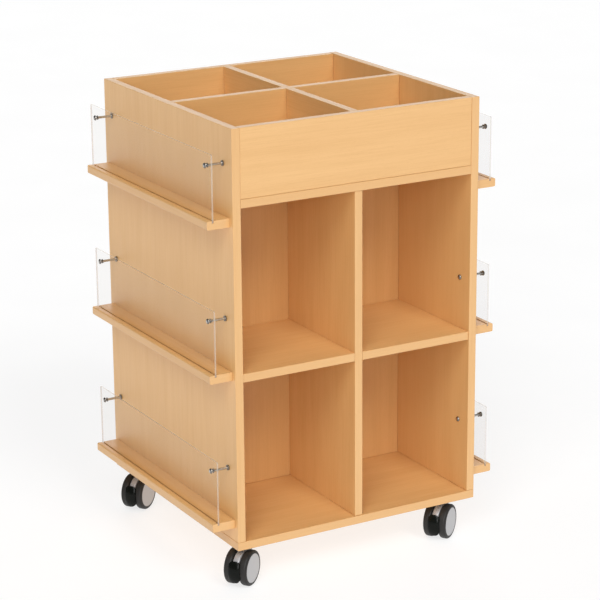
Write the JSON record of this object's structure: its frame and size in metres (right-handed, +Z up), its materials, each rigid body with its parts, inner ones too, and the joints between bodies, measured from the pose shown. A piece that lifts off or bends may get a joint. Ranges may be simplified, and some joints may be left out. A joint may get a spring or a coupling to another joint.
{
  "type": "book display stand",
  "caption": "Mobile library book display stand: divided trough on top, open compartments front and rear, side ledges with clear guards, on twin-wheel braked swivel casters.",
  "frame": {"origin": "on the floor under the middle of the carcass", "axes": "+X to the right along the front, +Y from the front to the rear, +Z up"},
  "size_m": [0.72, 0.6232, 1.027],
  "materials": {
    "beech_board": "satin melamine beech decor with matching edge banding",
    "clear_acrylic": "clear polished acrylic sheet",
    "stainless_steel": "turned stainless steel",
    "zinc_plated_steel": "zinc-plated pressed steel",
    "silver_housing": "silver-grey satin paint",
    "black_tyre": "soft black tread with a light-grey hub disc",
    "black_plastic": "satin moulded black plastic"
  },
  "bodies": {
    "stand": {"base_panel": "beech_board", "side_panel_left": "beech_board", "side_panel_right": "beech_board", "trough_floor": "beech_board", "middle_wall": "beech_board", "divider_front": "beech_board", "divider_rear": "beech_board", "trough_divider_long": "beech_board", "trough_divider_front": "beech_board", "trough_divider_rear": "beech_board", "trough_panel_front": "beech_board", "trough_panel_rear": "beech_board", "compartment_shelf_front_left": "beech_board", "compartment_shelf_front_right": "beech_board", "compartment_shelf_rear_left": "beech_board", "compartment_shelf_rear_right": "beech_board", "display_ledge_left_bottom": "beech_board", "display_ledge_left_middle": "beech_board", "display_ledge_left_top": "beech_board", "display_ledge_right_bottom": "beech_board", "display_ledge_right_middle": "beech_board", "display_ledge_right_top": "beech_board", "guard_left_bottom": "clear_acrylic", "guard_left_middle": "clear_acrylic", "guard_left_top": "clear_acrylic", "guard_right_bottom": "clear_acrylic", "guard_right_middle": "clear_acrylic", "guard_right_top": "clear_acrylic", "standoff_left_bottom_front": "stainless_steel", "standoff_left_bottom_rear": "stainless_steel", "standoff_left_middle_front": "stainless_steel", "standoff_left_middle_rear": "stainless_steel", "standoff_left_top_front": "stainless_steel", "standoff_left_top_rear": "stainless_steel", "standoff_right_bottom_front": "stainless_steel", "standoff_right_bottom_rear": "stainless_steel", "standoff_right_middle_front": "stainless_steel", "standoff_right_middle_rear": "stainless_steel", "standoff_right_top_front": "stainless_steel", "standoff_right_top_rear": "stainless_steel", "caster_front_left_plate": "zinc_plated_steel", "caster_front_right_plate": "zinc_plated_steel", "caster_rear_left_plate": "zinc_plated_steel", "caster_rear_right_plate": "zinc_plated_steel"},
    "caster_front_left": {"caster_front_left_housing": "silver_housing"},
    "wheel_front_left_left": {"caster_front_left_wheel_left": "black_tyre"},
    "wheel_front_left_right": {"caster_front_left_wheel_right": "black_tyre"},
    "brake_front_left": {"caster_front_left_brake_pedal": "black_plastic"},
    "caster_front_right": {"caster_front_right_housing": "silver_housing"},
    "wheel_front_right_left": {"caster_front_right_wheel_left": "black_tyre"},
    "wheel_front_right_right": {"caster_front_right_wheel_right": "black_tyre"},
    "brake_front_right": {"caster_front_right_brake_pedal": "black_plastic"},
    "caster_rear_left": {"caster_rear_left_housing": "silver_housing"},
    "wheel_rear_left_left": {"caster_rear_left_wheel_left": "black_tyre"},
    "wheel_rear_left_right": {"caster_rear_left_wheel_right": "black_tyre"},
    "brake_rear_left": {"caster_rear_left_brake_pedal": "black_plastic"},
    "caster_rear_right": {"caster_rear_right_housing": "silver_housing"},
    "wheel_rear_right_left": {"caster_rear_right_wheel_left": "black_tyre"},
    "wheel_rear_right_right": {"caster_rear_right_wheel_right": "black_tyre"},
    "brake_rear_right": {"caster_rear_right_brake_pedal": "black_plastic"}
  },
  "joints": [
    {"name": "front_left_swivel", "type": "hinge", "parent": "stand", "child": "caster_front_left", "pos_m": [-0.258, -0.258, 0.085], "axis": [0, 0, 1], "continuous": true},
    {"name": "front_left_wheel_left_spin", "type": "hinge", "parent": "caster_front_left", "child": "wheel_front_left_left", "pos_m": [-0.28074, -0.27434, 0.04], "axis": [0.5835, -0.8121, 0], "continuous": true},
    {"name": "front_left_wheel_right_spin", "type": "hinge", "parent": "caster_front_left", "child": "wheel_front_left_right", "pos_m": [-0.28074, -0.27434, 0.04], "axis": [0.5835, -0.8121, 0], "continuous": true},
    {"name": "front_left_brake_press", "type": "hinge", "parent": "caster_front_left", "child": "brake_front_left", "pos_m": [-0.28074, -0.27434, 0.04], "axis": [0.5835, -0.8121, 0], "range_deg": [0, 15]},
    {"name": "front_right_swivel", "type": "hinge", "parent": "stand", "child": "caster_front_right", "pos_m": [0.258, -0.258, 0.085], "axis": [0, 0, 1], "continuous": true},
    {"name": "front_right_wheel_left_spin", "type": "hinge", "parent": "caster_front_right", "child": "wheel_front_right_left", "pos_m": [0.23526, -0.27434, 0.04], "axis": [0.5835, -0.8121, 0], "continuous": true},
    {"name": "front_right_wheel_right_spin", "type": "hinge", "parent": "caster_front_right", "child": "wheel_front_right_right", "pos_m": [0.23526, -0.27434, 0.04], "axis": [0.5835, -0.8121, 0], "continuous": true},
    {"name": "front_right_brake_press", "type": "hinge", "parent": "caster_front_right", "child": "brake_front_right", "pos_m": [0.23526, -0.27434, 0.04], "axis": [0.5835, -0.8121, 0], "range_deg": [0, 15]},
    {"name": "rear_left_swivel", "type": "hinge", "parent": "stand", "child": "caster_rear_left", "pos_m": [-0.258, 0.258, 0.085], "axis": [0, 0, 1], "continuous": true},
    {"name": "rear_left_wheel_left_spin", "type": "hinge", "parent": "caster_rear_left", "child": "wheel_rear_left_left", "pos_m": [-0.28074, 0.24166, 0.04], "axis": [0.5835, -0.8121, 0], "continuous": true},
    {"name": "rear_left_wheel_right_spin", "type": "hinge", "parent": "caster_rear_left", "child": "wheel_rear_left_right", "pos_m": [-0.28074, 0.24166, 0.04], "axis": [0.5835, -0.8121, 0], "continuous": true},
    {"name": "rear_left_brake_press", "type": "hinge", "parent": "caster_rear_left", "child": "brake_rear_left", "pos_m": [-0.28074, 0.24166, 0.04], "axis": [0.5835, -0.8121, 0], "range_deg": [0, 15]},
    {"name": "rear_right_swivel", "type": "hinge", "parent": "stand", "child": "caster_rear_right", "pos_m": [0.258, 0.258, 0.085], "axis": [0, 0, 1], "continuous": true},
    {"name": "rear_right_wheel_left_spin", "type": "hinge", "parent": "caster_rear_right", "child": "wheel_rear_right_left", "pos_m": [0.23526, 0.24166, 0.04], "axis": [0.5835, -0.8121, 0], "continuous": true},
    {"name": "rear_right_wheel_right_spin", "type": "hinge", "parent": "caster_rear_right", "child": "wheel_rear_right_right", "pos_m": [0.23526, 0.24166, 0.04], "axis": [0.5835, -0.8121, 0], "continuous": true},
    {"name": "rear_right_brake_press", "type": "hinge", "parent": "caster_rear_right", "child": "brake_rear_right", "pos_m": [0.23526, 0.24166, 0.04], "axis": [0.5835, -0.8121, 0], "range_deg": [0, 15]}
  ]
}
